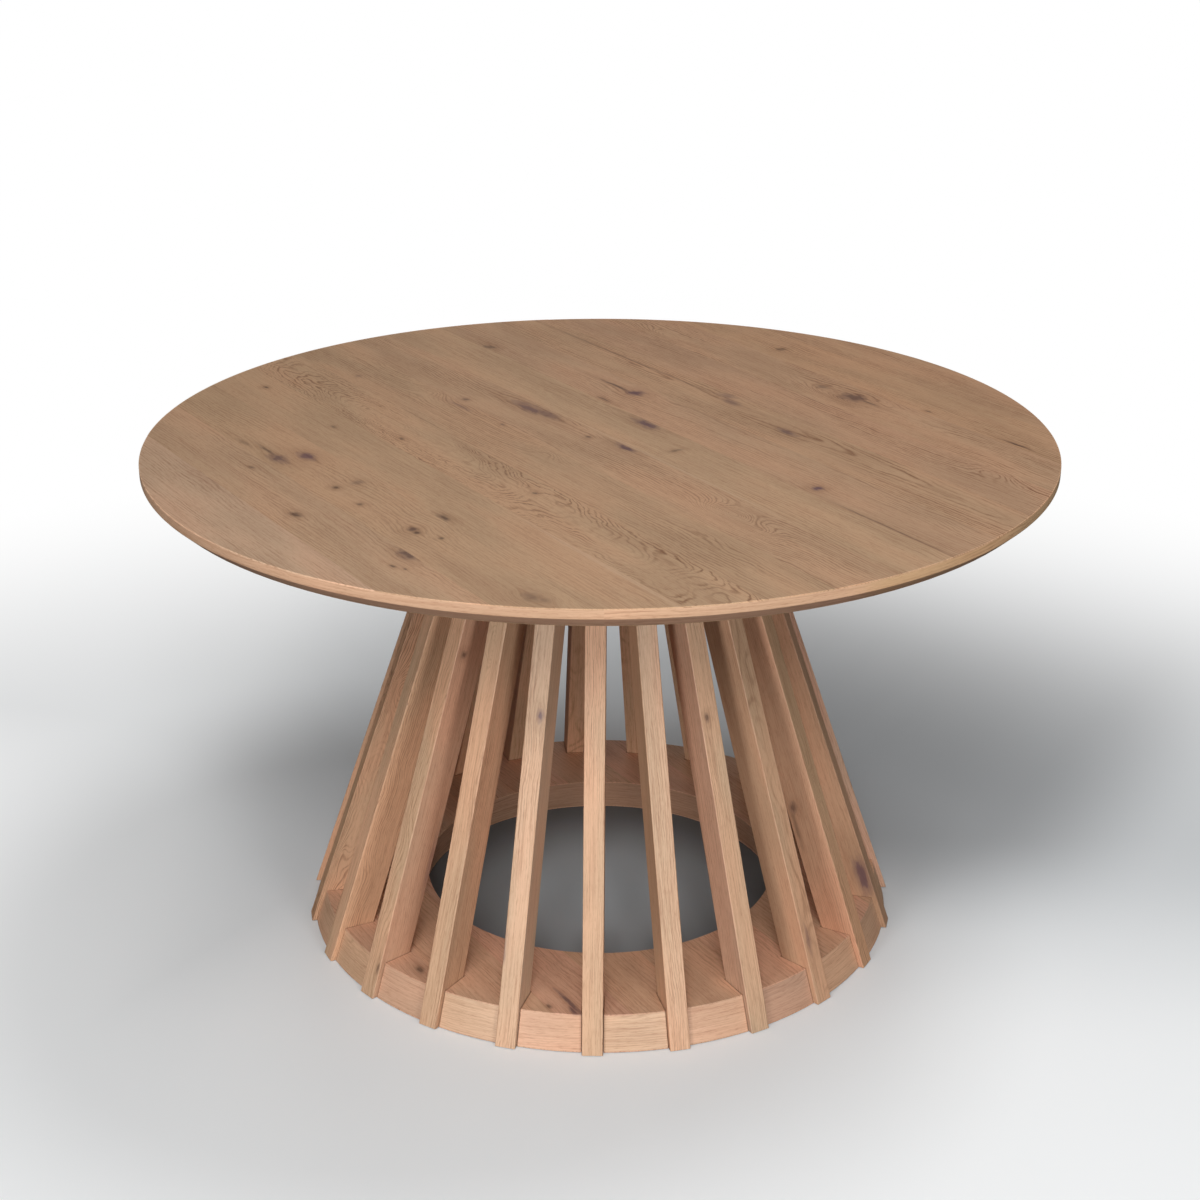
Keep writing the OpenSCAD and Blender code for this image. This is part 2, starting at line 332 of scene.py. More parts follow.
leafSet = {
    "count": 14,
    "width": 0.0915,
    "middleSeam": 0.003,
    "middleLeaf": 8,  # the leaf on the far side of the middle seam
    "grainAngle": -55.5,
    "rimRadius": 0.001,
    "seamEase": 0.0003,
    "shortestSeam": 0.05,  # shorter edges are steps of the round rim
    "sides": 384,
    "seeds": (0, 3.7),  # the first one and the step from piece to piece
    "tone": 0.97,
    "rimHighlightTone": (1.3, 1.3, 1.3),  # painted highlight: the eased rim is painted paler, where it would catch the light
    "rimHighlight": (0.0018, 0.0006),  # distance from the rim where that starts, and where it is full
    "backingSeed": 51.0,
}
leafLooks = {  # where a leaf differs from plainWood
    1: {"tone": (1.07, 1.11, 1.22)},
    2: {"tone": (0.99, 0.99, 1.02),
        "knots": (
            (-0.141, -0.480, 0.006, 0.003, 0.6, 0, 0.5), (0.066, -0.511, 0.010, 0.006, 0.8, 0, 0.8),
            (0.272, -0.458, 0.016, 0.009, 1.0, 0.4, 0.9), (0.295, -0.491, 0.005, 0.003, 0.8, 0, 0.3),
            (0.311, -0.483, 0.003, 0.002, 0.8, 0, 0))},
    3: {"knots": (
        (-0.153, -0.432, 0.022, 0.009, 0.9, 0.6, 0.8), (-0.195, -0.431, 0.03, 0.003, 0.7, 0.2, 0),
        (-0.142, -0.395, 0.018, 0.010, 0.8, 0.8, 0.8), (-0.248, -0.443, 0.022, 0.004, 0.4, 0, 0.3),
        (-0.003, -0.387, 0.009, 0.008, 0.5, 0.3, 0.6), (-0.001, -0.420, 0.006, 0.005, 0.8, 0, 0.6),
        (0.075, -0.424, 0.005, 0.004, 0.7, 0, 0.4), (0.196, -0.411, 0.006, 0.007, 0.95, 0.3, 0.8),
        (0.208, -0.412, 0.005, 0.005, 0.95, 0.1, 0.3), (0.243, -0.396, 0.004, 0.003, 0.7, 0, 0.3),
        (0.470, -0.402, 0.012, 0.009, 0.5, 0.2, 0.9), (0.487, -0.395, 0.008, 0.006, 0.4, 0.2, 0.6))},
    4: {"figure": 0.25, "pales": ((0.42, -0.276, 0.2, 0.004, 0.25),),
        "knots": (
            (-0.480, -0.303, 0.006, 0.004, 0.8, 0, 0.6), (-0.243, -0.304, 0.007, 0.003, 0.6, 0, 0.5),
            (0.181, -0.3565, 0.012, 0.005, 0.95, 0.2, 0.7))},
    5: {"figure": 0.85, "ring": 0.0036, "pith": (0.002, 0.03), "taper": 0.14, "roll": (0.012, 7.0, 14.0),
        "jag": 0.003,
        "knots": ((0.163, -0.210, 0.005, 0.004, 0.7, 0, 0.3), (-0.141, -0.247, 0.006, 0.003, 0.6, 0, 0.3))},
    6: {"tone": 0.94, "figure": 0.6,
        "swells": (
            (0.032, -0.110, 0.05, 0.03, 0.03), (-0.319, -0.100, 0.05, 0.03, 0.03),
            (0.412, -0.109, 0.12, 0.02, 0.02)),
        "knots": (
            (-0.458, -0.155, 0.006, 0.005, 0.4, 0.3, 0.4),
            (-0.230, -0.099, 0.03, 0.005, 0.35, 0.7, 0.4), (-0.119, -0.092, 0.005, 0.003, 0.6, 0.3, 0))},
    7: {"tone": (0.97, 0.95, 0.96), "figure": 0.7, "pith": (-0.08, 0.04),
        "swells": ((0.371, -0.039, 0.06, 0.03, 0.09), (0.44, -0.045, 0.04, 0.02, 0.04)),
        "knots": (
            (-0.257, -0.076, 0.006, 0.005, 0.8, 0.4, 0.6),
            (-0.165, -0.018, 0.034, 0.010, 0.8, 0.7, 0.9), (-0.125, -0.012, 0.03, 0.008, 0.6, 0.6, 0.3),
            (0.0, -0.020, 0.005, 0.004, 0.8, 0.2, 0.4), (0.070, -0.002, 0.022, 0.006, 0.9, 0.8, 0.4))},
    8: {"tone": 0.98, "figure": 0.4, "pales": ((0.16, 0.007, 0.3, 0.002, 0.3),),
        "knots": ((-0.004, 0.084, 0.026, 0.009, 0.9, 0.8, 0.8), (0.119, 0.050, 0.004, 0.010, 0.6, 0, 0.3))},
    9: {"tone": (0.965, 0.94, 0.955), "figure": 0.5,
        "knots": (
            (-0.492, 0.105, 0.012, 0.007, 0.7, 0.2, 0.7), (-0.142, 0.158, 0.014, 0.010, 0.95, 0.8, 0.9),
            (-0.187, 0.155, 0.044, 0.003, 0.9, 0.3, 0), (-0.142, 0.100, 0.014, 0.003, 0.7, 0.2, 0.3),
            (0.353, 0.116, 0.007, 0.007, 0.9, 0.9, 0.7), (0.515, 0.098, 0.105, 0.0016, 0.6, 0, 0))},
    10: {"tone": (0.96, 0.935, 0.93), "figure": 0.8, "ring": 0.0045, "pith": (0.015, 0.012),
        "taper": 0.03, "roll": (0.004, 5.0, 9.0),
        "knots": (
            (-0.32, 0.2555, 0.26, 0.0016, 0.6, 0, 0), (-0.054, 0.268, 0.018, 0.008, 0.5, 0.7, 0.7),
            (-0.024, 0.252, 0.020, 0.006, 0.6, 0.6, 0.5), (0.136, 0.232, 0.020, 0.006, 0.85, 0.6, 0.7))},
    11: {"tone": (0.945, 0.90, 0.91), "figure": 0.75, "swells": ((0.435, 0.357, 0.06, 0.03, 0.03),)},
    12: {"tone": (0.96, 0.925, 0.925), "figure": 0.85, "pith": (-0.08, 0.05),
        "swells": ((0.13, 0.405, 0.16, 0.03, 0.09), (-0.391, 0.389, 0.08, 0.02, 0.04)),
        "knots": (
            (-0.011, 0.418, 0.010, 0.007, 0.6, 0.3, 0.7), (0.058, 0.422, 0.020, 0.014, 1.0, 0.35, 0.95),
            (0.095, 0.424, 0.02, 0.003, 0.7, 0, 0))},
    13: {"tone": (0.965, 0.915, 0.885), "figure": 0.75,
        "knots": (
            (-0.218, 0.497, 0.008, 0.008, 0.6, 0, 0.7), (0.173, 0.470, 0.006, 0.003, 0.6, 0, 0.3),
            (0.363, 0.469, 0.026, 0.003, 0.9, 0, 0.3))},
    14: {"tone": (0.95, 0.895, 0.875), "figure": 0.7},
}


def sharpTopEdges(bm, top):  # the edges between the upper face and the sides
    return [e for e in bm.edges if all(v.co.z > top - 1e-5 for v in e.verts)
            and len(e.link_faces) == 2 and e.calc_face_angle(0) > 1]


def makeLeaf(number, radius, lowest, top):
    turn = turnAbout(math.radians(leafSet["grainAngle"]))
    sideways = turn @ Vector((0, 1, 0))
    bm = bmesh.new()
    bmesh.ops.create_circle(bm, cap_ends=True, segments=leafSet["sides"], radius=radius,
                            matrix=Matrix.Translation((0, 0, lowest)))
    start = leafSet["middleSeam"] + leafSet["width"] * (number - leafSet["middleLeaf"])
    for place, side, used in ((start, -1, number > 1),
                              (start + leafSet["width"], 1, number < leafSet["count"])):
        if used:
            bmesh.ops.bisect_plane(bm, geom=bm.verts[:] + bm.edges[:] + bm.faces[:],
                                   plane_co=sideways * place, plane_no=sideways * side, clear_outer=True)
    raised = bmesh.ops.extrude_face_region(bm, geom=bm.faces[:])["geom"]
    bmesh.ops.translate(bm, verts=[g for g in raised if isinstance(g, bmesh.types.BMVert)],
                        vec=(0, 0, top - lowest))
    bmesh.ops.recalc_face_normals(bm, faces=bm.faces[:])
    rimEdges = [e for e in sharpTopEdges(bm, top) if e.calc_length() < leafSet["shortestSeam"]
                and all(v.co.xy.length > radius - 2e-5 for v in e.verts)]
    roundOff(bm, rimEdges, leafSet["rimRadius"], 3)
    seamEdges = [e for e in sharpTopEdges(bm, top) if e.calc_length() > leafSet["shortestSeam"]]
    roundOff(bm, seamEdges, leafSet["seamEase"], 1)
    smoothCurves(bm, 1e-3)
    return bm


def makeLeaves():
    radius = tableRadius()
    leafLow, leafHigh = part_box("top_leaf_07")
    for number in range(1, leafSet["count"] + 1):
        bm = makeLeaf(number, radius, leafLow.z, leafHigh.z)
        material, look = newLook("oakLeaf%02d" % number)
        x, y, z = look.coordinates((0, 0, leafHigh.z), (0, 0, math.radians(leafSet["grainAngle"])))
        angle, reach = look.around(x, y)
        # painted highlight along the eased rim of the top
        start, full = leafSet["rimHighlight"]
        rimHighlight = look.step(reach, radius - start, radius - full)
        middle = leafSet["middleSeam"] + leafSet["width"] * (number - leafSet["middleLeaf"] + 0.5)
        wood = {"seed": pieceSeed(leafSet, number), "middle": middle, "tone": leafSet["tone"],
                "tones": ((rimHighlight, leafSet["rimHighlightTone"]),)}
        oak(look, x, y, z, **{**wood, **leafLooks.get(number, {})})
        addPiece("oakLeaf%02d" % number, bm, material, "oak_leaves", "top_leaf_%02d" % number)


makeLeaves()
print("top leaves laid")


lippingSet = {
    "count": 6,
    "firstJoint": 1.8,
    "bevelTop": (0.650, 0.737),  # radius and height where the bevel meets the upright band
    "bevelFoot": (0.633, 0.7215),  # and where it would meet the backing
    "arris": 0.0007,
    "steps": 64,
    "seeds": (40, 2.9),
    # the band's tone is partly the lipping's paler wood and partly painted light, as it faces the lamps
    "tone": (1.28, 1.25, 1.33),
    # painted shade: the bevel underneath is painted darker, as shade falls on it
    "bevelShadeTone": (0.66, 0.62, 0.64),
    "yellowTone": (0.93, 0.97, 0.85),  # for the second piece and the end of the first that meets it
    "yellowFrom": (-0.08, 0.04),  # where it starts and is full, in radians from the first piece's middle
}


def runsRound(edge):  # an edge that follows the rim, and not one that crosses it
    first, second = edge.verts[0].co, edge.verts[1].co
    return abs((first - second).normalized().dot(((first + second) / 2).normalized())) < 0.3


def makeLippings():
    radius = tableRadius()
    arc = 2 * math.pi / lippingSet["count"]
    boxLow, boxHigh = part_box("rim_lipping_01")
    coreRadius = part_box("top_core")[1].x
    (bandRadius, bandLow), (footRadius, footHeight) = lippingSet["bevelTop"], lippingSet["bevelFoot"]
    bevelRadius = bandRadius - (bandRadius - footRadius) * (bandLow - boxLow.z) / (bandLow - footHeight)
    section = ((coreRadius, boxLow.z), (bevelRadius, boxLow.z), (radius, bandLow), (radius, boxHigh.z),
               (coreRadius, boxHigh.z))
    for number in range(1, lippingSet["count"] + 1):
        start = (number - 1) * arc + math.radians(lippingSet["firstJoint"] - 90)
        bm = bmesh.new()
        profile = [bm.verts.new(turnAbout(start) @ Vector((r, 0, z))) for r, z in section]
        face = bm.faces.new(profile)
        bmesh.ops.spin(bm, geom=[face] + face.edges[:] + profile, cent=(0, 0, 0), axis=(0, 0, 1),
                       dvec=(0, 0, 0), angle=arc, steps=lippingSet["steps"], use_merge=False,
                       use_duplicate=False)
        bmesh.ops.recalc_face_normals(bm, faces=bm.faces[:])
        arrises = [e for e in bm.edges if all(abs(v.co.z - bandLow) < 1e-5 for v in e.verts) and runsRound(e)]
        roundOff(bm, arrises, lippingSet["arris"], 2)
        smoothCurves(bm, 3e-3)
        material, look = newLook("oakLipping%02d" % number)
        x, y, z = look.coordinates(turn=(0, 0, start + arc / 2))
        angle, reach = look.around(x, y)
        # painted shade on the bevel underneath
        tones = [(look.step(z, bandLow, bandLow - 0.001), lippingSet["bevelShadeTone"])]
        if number == 1:
            tones.append((look.step(angle, *lippingSet["yellowFrom"]), lippingSet["yellowTone"]))
        elif number == 2:
            tones.append((1.0, lippingSet["yellowTone"]))
        oak(look, angle * radius, z - bandLow, reach - radius, seed=pieceSeed(lippingSet, number),
            tone=lippingSet["tone"], tones=tones)
        addPiece("oakLipping%02d" % number, bm, material, "oak_edging", "rim_lipping_%02d" % number)


makeLippings()
print("lippings bent round the rim")


slatSet = {
    "count": 23,
    "arris": 0.0012,
    "width": 0.029,
    "depth": 0.05,
    "footRadius": 0.451,
    "headRadius": 0.201,
    "seeds": (80, 5.3),
    "pith": (0.02, 0.045),  # as in plainWood, for a middling slat
    "pithSpread": (0.07, 0.02),
    "pithStep": (2.4, 3.1),  # radians of the wave that varies it from slat to slat
    # the fronts' tone is partly the slats' own colour and partly painted light, brighter than the tabletop as
    # where more light falls
    "frontTone": (1.25, 1.28, 1.34),  # tones are matched by measure under these lamps
    "sideTone": (0.91, 0.86, 0.85),  # the wide sides, on top of frontTone: darker and redder, partly their own colour and partly painted shade
    "sideFrom": (0.0007, 0.0002),  # distance from the side where that starts, and where it is full
    # each slat's side tone, fitted the same way, is partly painted light and shade
    "sideTones": {
        3: (0.92, 0.88, 0.94), 5: (0.97, 0.90, 0.95), 6: (1.12, 1.12, 1.13), 7: (0.91, 0.90, 1.0),
        19: (1.02, 1.06, 1.14), 20: (0.87, 0.86, 0.84), 21: (0.86, 0.81, 0.84), 23: (0.97, 1.05, 1.15)},
    "wholeTones": {  # slats that come out darker than the others all over
        3: (0.89, 0.94, 0.96), 4: (0.88, 0.88, 0.88), 5: (0.94, 0.91, 0.86), 6: (0.83, 0.77, 0.75),
        19: (0.88, 0.84, 0.78)},
}
slatLooks = {  # where a slat differs from the others
    1: {"pith": (0.10, 0.03)},
    2: {"pith": (-0.08, 0.04)},
    3: {"knots": ((0.451, -0.004, 0.006, 0.003, 0.8, 0.2, 0.6),)},
    4: {"knots": ((0.096, -0.004, 0.02, 0.004, 0.5, 0.7, 0.6),)},
    5: {"swells": ((0.288, -0.003, 0.03, 0.008, 0.02),),
        "knots": (
            (0.263, -0.0145, 0.008, 0.004, 0.8, 0.3, 0.3, 0.038),
            (0.235, -0.0145, 0.03, 0.002, 0.5, 0, 0, 0.042))},
    6: {"knots": ((0.095, -0.0145, 0.030, 0.006, 0.8, 0.9, 0.3, 0.010),)},
    19: {"figure": 0.85, "ring": 0.0036, "roll": (0.012, 8.0, 12.0), "pith": (0.01, 0.03),
        "swells": (
            (0.13, 0.0145, 0.06, 0.010, 0.02, 0.010), (0.30, 0.0145, 0.08, 0.010, 0.02, 0.004),
            (0.40, 0.0145, 0.05, 0.012, 0.03, 0.016), (0.04, 0.0145, 0.05, 0.012, 0.02, 0.02))},
    20: {"figure": 0.5, "roll": (0.010, 8.0, 12.0), "pith": (0.03, 0.02)},
    21: {"knots": (
        (0.522, 0.0145, 0.005, 0.003, 0.8, 0.1, 0.3, 0.013),
        (0.21, 0.0145, 0.05, 0.003, 0.4, 0.8, 0.3, 0.046),
        (0.047, 0.010, 0.008, 0.003, 0.7, 0.1, 0.3))},
    22: {"figure": 0.6, "swells": ((0.55, 0.0, 0.05, 0.012, 0.03),)},
    23: {"knots": (
        (0.466, 0.006, 0.009, 0.005, 0.8, 0.9, 0.8), (0.136, -0.014, 0.02, 0.003, 0.5, 0.8, 0.3))},
}


def dressSlat(number, outward, leanAngle):
    # local X runs up the slat, Y across its face and Z inwards
    up = (Vector((0, 0, 1)) * math.cos(leanAngle) - outward * math.sin(leanAngle)).normalized()
    across = Vector((0, 0, 1)).cross(outward).normalized()
    axes = Matrix((up, across, up.cross(across))).transposed()
    material, look = newLook("oakSlat%02d" % number)
    x, y, z = look.coordinates(tuple(outward * slatSet["footRadius"]), tuple(axes.to_euler()))
    start, full = slatSet["sideFrom"]
    side = look.step(y.calc("ABSOLUTE", y), slatSet["width"] / 2 - start, slatSet["width"] / 2 - full)
    waves = [math.sin(number * slatSet["pithStep"][0]), math.cos(number * slatSet["pithStep"][1])]
    wood = {"seed": pieceSeed(slatSet, number), "tone": slatSet["frontTone"], "ring": 0.0029, "warmth": 0.9,
            "streaks": 0.68 - side * 0.2, "figure": 0.45 - side * 0.15,
            # the front and side tones hold painted light and shade as well as the wood's colour
            "tones": ((1.0, slatSet["wholeTones"].get(number, 1.0)),
                      (side, slatSet["sideTones"].get(number, slatSet["sideTone"]))),
            "pith": [middle + wave * spread for middle, wave, spread
                     in zip(slatSet["pith"], waves, slatSet["pithSpread"])]}
    oak(look, x, y, z, **{**wood, **slatLooks.get(number, {})})
    return material


def makeSlats():
    low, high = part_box("slat_01")
    rise = high.z - low.z
    leanAngle = math.atan((slatSet["footRadius"] - slatSet["headRadius"]) / rise)
    for number in range(1, slatSet["count"] + 1):
        name = "slat_%02d" % number
        bearing = (number - 1) * 2 * math.pi / slatSet["count"] - math.pi / 2
        bm = bmesh.new()
        bm.from_mesh(nodes[name].data)
        bmesh.ops.remove_doubles(bm, verts=bm.verts[:], dist=2e-6)
        bmesh.ops.dissolve_limit(bm, angle_limit=math.radians(0.5), verts=bm.verts[:], edges=bm.edges[:])
        roundOff(bm, [e for e in bm.edges if e.calc_length() > 0.5 * rise and e.calc_face_angle(0) > 1],
                 slatSet["arris"], 3)
        smoothCurves(bm, 2e-3)
        material = dressSlat(number, Vector((math.cos(bearing), math.sin(bearing), 0)), leanAngle)
        addPiece("oakSlat%02d" % number, bm, material, "oak_slats", name)


makeSlats()
print("slats stood in place")


ringSet = {
    "grainAngle": -57.0,
    "leaves": 12,
    "leafWidth": 0.092,
    "leafTones": (
        (0.98, 0.96, 0.92), (1.04, 0.97, 0.95), (1.0, 0.98, 0.94), (1.05, 0.98, 0.98), (0.97, 0.95, 0.9)),
    # the ring's upper face is written brighter: partly its own colour and partly painted light in its shade
    # under the top
    "leafTone": (1.24, 1.20, 1.33),
    "leafSeeds": (11, 5.3),
    "knots": (
        (0.318, -0.244, 0.034, 0.0032, 0.95, 0.6, 0.5), (0.336, -0.249, 0.012, 0.004, 0.95, 0.6, 0.3),
        (0.307, -0.273, 0.006, 0.003, 0.7, 0.0, 0.5), (0.131, -0.382, 0.008, 0.005, 0.7, 0.0, 0.6)),
    "strips": 23,
    "stripTones": (
        (1.02, 1.05, 1.13), (1.07, 1.01, 1.09), (0.82, 0.79, 0.90), (0.98, 0.95, 1.0), (0.91, 0.88, 0.93),
        (1.02, 1.01, 1.05), (0.93, 0.9, 1.0)),
    # the edge strips' tone is partly their own colour and partly painted light, like the slats' fronts
    "stripTone": 1.27,
    "stripSeeds": (31, 5.3),
    "stripKnot": (-3.74, 0.036),  # bearing in degrees from the first slat, and height
    # the bore band's tone is partly its own colour and partly painted shade
    "boreTone": (0.88, 0.83, 0.90),
    "boreSeed": 21.0,
    # the dark line beside each slat is painted shade: the slot's gap, and the width, colour and strength of
    # that line
    "jointGap": 0.0008,
    "jointWidth": 0.0016,
    "jointShadeTone": (0.42, 0.33, 0.28),
    "jointShadeStrength": 0.8,
}


def toneOf(look, number, count, tones):  # takes the tones in turn for pieces numbered from 0
    stops = [(place / count, (*tones[place % len(tones)], 1)) for place in range(count)]
    return look.node("ShaderNodeValToRGB", {"interpolation": "CONSTANT", "stops": stops},
                     {0: (number + 0.5) * (1 / count)})


def jointShade(look, angle, reach):  # painted shade: the dark line where the ring meets a slat, in place of the shade in the slot's gap; angle 0 is the first slat
    foot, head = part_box("slat_01")
    lean = (slatSet["footRadius"] - slatSet["headRadius"]) / (head.z - foot.z)
    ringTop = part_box("base_ring_top_veneer")[1].z
    slotEnd = slatSet["footRadius"] - (ringTop - foot.z) * lean - slatSet["depth"] * math.hypot(1, lean)
    slotEnd = slotEnd - ringSet["jointGap"]
    cell = 2 * math.pi / ringSet["strips"]
    turns = angle * (1 / cell)
    away = turns.calc("PINGPONG", turns, 0.5) * reach * cell
    edge = slatSet["width"] / 2 + ringSet["jointGap"]
    beside = look.step(away, edge + ringSet["jointWidth"], edge)
    beside = beside * look.step(reach, slotEnd - ringSet["jointWidth"], slotEnd)
    return beside * ringSet["jointShadeStrength"], ringSet["jointShadeTone"]


def ringFace():
    material, look = newLook("oakRingFace")
    grainAngle = math.radians(ringSet["grainAngle"])
    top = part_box("base_ring_top_veneer")[1].z
    x, y, z = look.coordinates((0, 0, top), (0, 0, grainAngle))
    angle, reach = look.around(x, y)
    half = ringSet["leaves"] / 2
    share = y * (1 / ringSet["leafWidth"]) + half
    number = share.calc("FLOOR", share)
    first, step = ringSet["leafSeeds"]
    tones = ((1.0, toneOf(look, number, ringSet["leaves"], ringSet["leafTones"])),
             jointShade(look, angle + (grainAngle + math.pi / 2), reach))
    oak(look, x, y, z, seed=number * step + first, middle=(number - (half - 0.5)) * ringSet["leafWidth"],
        figure=0.35, streaks=0.6, ring=0.0052, jag=0.002, tone=ringSet["leafTone"], tones=tones,
        knots=ringSet["knots"])
    return material


def ringBore():
    material, look = newLook("oakBoreBand")
    x, y, z = look.coordinates(turn=(0, 0, math.pi / 2))
    angle, reach = look.around(x, y)
    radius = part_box("base_ring_bore_band")[1].x
    oak(look, angle * radius, z, reach - radius, seed=ringSet["boreSeed"], streaks=0.7,
        tone=ringSet["boreTone"])
    return material


def ringEdge():
    material, look = newLook("oakEdgeStrips")
    x, y, z = look.coordinates(turn=(0, 0, -math.pi / 2))
    angle, reach = look.around(x, y)
    strips = ringSet["strips"]
    number = angle * (strips / (2 * math.pi)) + strips
    number = number.calc("FLOOR", number) % strips
    low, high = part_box("base_ring_edge_strips")
    radius = high.x
    bearing, height = ringSet["stripKnot"]
    first, step = ringSet["stripSeeds"]
    tones = ((1.0, toneOf(look, number, strips, ringSet["stripTones"])), jointShade(look, angle, reach))
    oak(look, angle * radius, z, reach - radius, seed=number * step + first, middle=(low.z + high.z) / 2,
        pith=(0.02, 0.03), ring=0.0032, figure=0.25, streaks=0.6, tone=ringSet["stripTone"], tones=tones,
        knots=((radius * math.radians(bearing), height, 0.004, 0.0025, 0.9, 0, 0.3),))
    return material


def topBacking():
    material, look = newLook("oakBacking")
    x, y, z = look.coordinates(turn=(0, 0, math.radians(leafSet["grainAngle"])))
    oak(look, x, y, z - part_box("top_backing")[0].z, seed=leafSet["backingSeed"])
    return material


dress(ringFace(), "base_ring_top_veneer", "base_ring_bottom_veneer")
dress(ringBore(), "base_ring_bore_band")
dress(ringEdge(), "base_ring_edge_strips")
dress(topBacking(), "top_backing")
print("ring and backing veneered")


plainSet = {  # colour, second colour, roughness, noise per metre along x, y and z, bump depth
    "fibreboardCut": ((158, 132, 100), (124, 98, 70), 0.8, (1400, 1400, 700), 0.00008),
    "beechDowel": ((212, 176, 136), (184, 142, 102), 0.5, (260, 260, 900), 0.00004),
    "blackenedSteel": ((92, 93, 96), (66, 67, 70), 0.35, (900, 900, 160), 0.00002),
    "zincPlate": ((182, 184, 188), (150, 152, 158), 0.28, (420, 420, 420), 0.00002),
    "glidePlastic": ((40, 40, 42), (28, 28, 30), 0.5, (1600, 1600, 1600), 0.00003),
}
plySet = {
    "face": (212, 186, 148),
    "crossed": (170, 136, 98),
    "glueLine": (110, 82, 58),
    "ply": 0.0014,  # thickness of one ply
    "fibres": (240, 14, 900),  # per metre along x, y and z
    "endGrain": 1500,
    "roughness": 0.6,
    "depth": 0.00005,
}


def plainLook(name, **constants):
    colour, second, roughness, (oftenX, oftenY, oftenZ), depth = plainSet[name]
    material, look = newLook(name)
    x, y, z = look.coordinates()
    grains = look.noise(look.vector(x * oftenX, y * oftenY, z * oftenZ), 3.0, 0.65)
    cloud = look.noise(look.vector(x * 24, y * 24, z * 24), 2.0)
    mottled = look.step(grains, 0.35, 0.68) * 0.75 + look.step(cloud, 0.35, 0.7) * 0.25
    mixed = look.blend(mottled, paint(*colour), paint(*second))
    surface(look, mixed, mottled * 0.12 + roughness, grains, depth, **constants)
    return material


def plyLook():
    material, look = newLook("birchPlies")
    x, y, z = look.coordinates((0, 0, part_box("upper_ring")[0].z))
    plies = z * (1 / plySet["ply"])
    half = plies.calc("PINGPONG", plies, 1.0)  # 0 in the middle of one ply and 1 in the middle of the next
    crossed = look.step(half, 0.46, 0.54)
    glue = look.step((half - 0.5).calc("ABSOLUTE", half - 0.5), 0.08, 0.02)
    oftenX, oftenY, oftenZ = plySet["fibres"]
    fibre = look.noise(look.vector(x * oftenX, y * oftenY, z * oftenZ), 3.0, 0.65)
    often = plySet["endGrain"]
    endGrain = look.noise(look.vector(x * often, y * often, z * often), 2.0, 0.6)
    colour = look.blend(crossed * 0.6, paint(*plySet["face"]), paint(*plySet["crossed"]))
    streaks = look.step(fibre, 0.4, 0.7) * 0.4 + look.step(endGrain, 0.5, 0.75) * crossed * 0.3
    colour = look.blend(streaks, colour, paint(*plySet["crossed"]))
    colour = look.blend(glue * 0.6, colour, paint(*plySet["glueLine"]))
    surface(look, colour, fibre * 0.15 + plySet["roughness"], fibre - glue * 0.5, plySet["depth"])
    return material


dress(plainLook("fibreboardCut"), "top_core", "base_ring_core")
dress(plyLook(), "upper_ring")
dress(plainLook("beechDowel"), "upper_ring_dowels", "base_ring_dowels")
dress(plainLook("blackenedSteel", Metallic=1.0), "top_bolts", "glide_nails")
dress(plainLook("zincPlate", Metallic=1.0), "bolt_washers", "threaded_inserts")
dress(plainLook("glidePlastic"), "floor_glides")
print("cores and fixings dressed")


# the floor is painted darker behind the table and inside the ring, which deepens the shadows there: painted
# shadow. In front and on the left it is painted paler: painted light
floorSet = {
    "size": 60.0,
    "seen": (222, 225, 227),
    # painted light: the floor in front and on the left is paler
    "near": (246, 248, 249),
    "behind": (164, 166, 168),
    "inside": (184, 189, 192),
    "corner": (112, 115, 117),
    "bounce": (80, 80, 80),  # what the table gets back from the floor
    "roughness": 0.9,
    "gloss": 0.1,
    # each range is where a change starts and where it is full, in metres
    "nearFront": (0.1, -0.45),
    "nearLeft": (-0.4, -0.75),
    "behindBack": (-0.15, 0.2),
    "behindRight": (0.0, 0.4),
    "behindReach": (2.0, 1.1),
    "behindEnd": (0.5, 0.85),
    "endSlant": 0.6,
    "endShare": 0.8,
    "insideReach": (0.46, 0.3),
    "cornerReach": (0.1, 0.28),
    "fadeBack": (0.7, 2.6),
    "fadeSlant": 0.6,
    "fadeReach": (1.9, 3.6),
    "fadeLeft": (-0.55, -1.8),
    "fadeLeftBack": (1.2, 0.2),
}


def floorColour(look, x, y, reach):
    near = look.step(y, *floorSet["nearFront"])
    near = near.calc("MAXIMUM", near, look.step(x, *floorSet["nearLeft"]))
    behind = look.step(y, *floorSet["behindBack"]) * look.step(x, *floorSet["behindRight"])
    behind = behind * look.step(reach, *floorSet["behindReach"])
    end = look.step(x - y * floorSet["endSlant"], *floorSet["behindEnd"])
    behind = behind * (1 - end * floorSet["endShare"])
    paintedFloor = look.blend(near, paint(*floorSet["seen"]), paint(*floorSet["near"]))
    paintedFloor = look.blend(behind, paintedFloor, paint(*floorSet["behind"]))
    # painted shade: inside the ring it is darkest close to the ring
    corner = look.step(reach, *floorSet["cornerReach"])
    inside = look.blend(corner, paint(*floorSet["inside"]), paint(*floorSet["corner"]))
    return look.blend(look.step(reach, *floorSet["insideReach"]), paintedFloor, inside)


def floorFade(look, x, y, reach):  # far from the table the floor turns to plain white
    fade = look.step(y + x.calc("ABSOLUTE", x) * floorSet["fadeSlant"], *floorSet["fadeBack"])
    fade = fade.calc("MAXIMUM", fade, look.step(reach, *floorSet["fadeReach"]))
    # on the left the floor is lifted toward white already close to the table: painted light
    left = look.step(x, *floorSet["fadeLeft"]) * look.step(y, *floorSet["fadeLeftBack"])
    return fade.calc("MAXIMUM", fade, left)


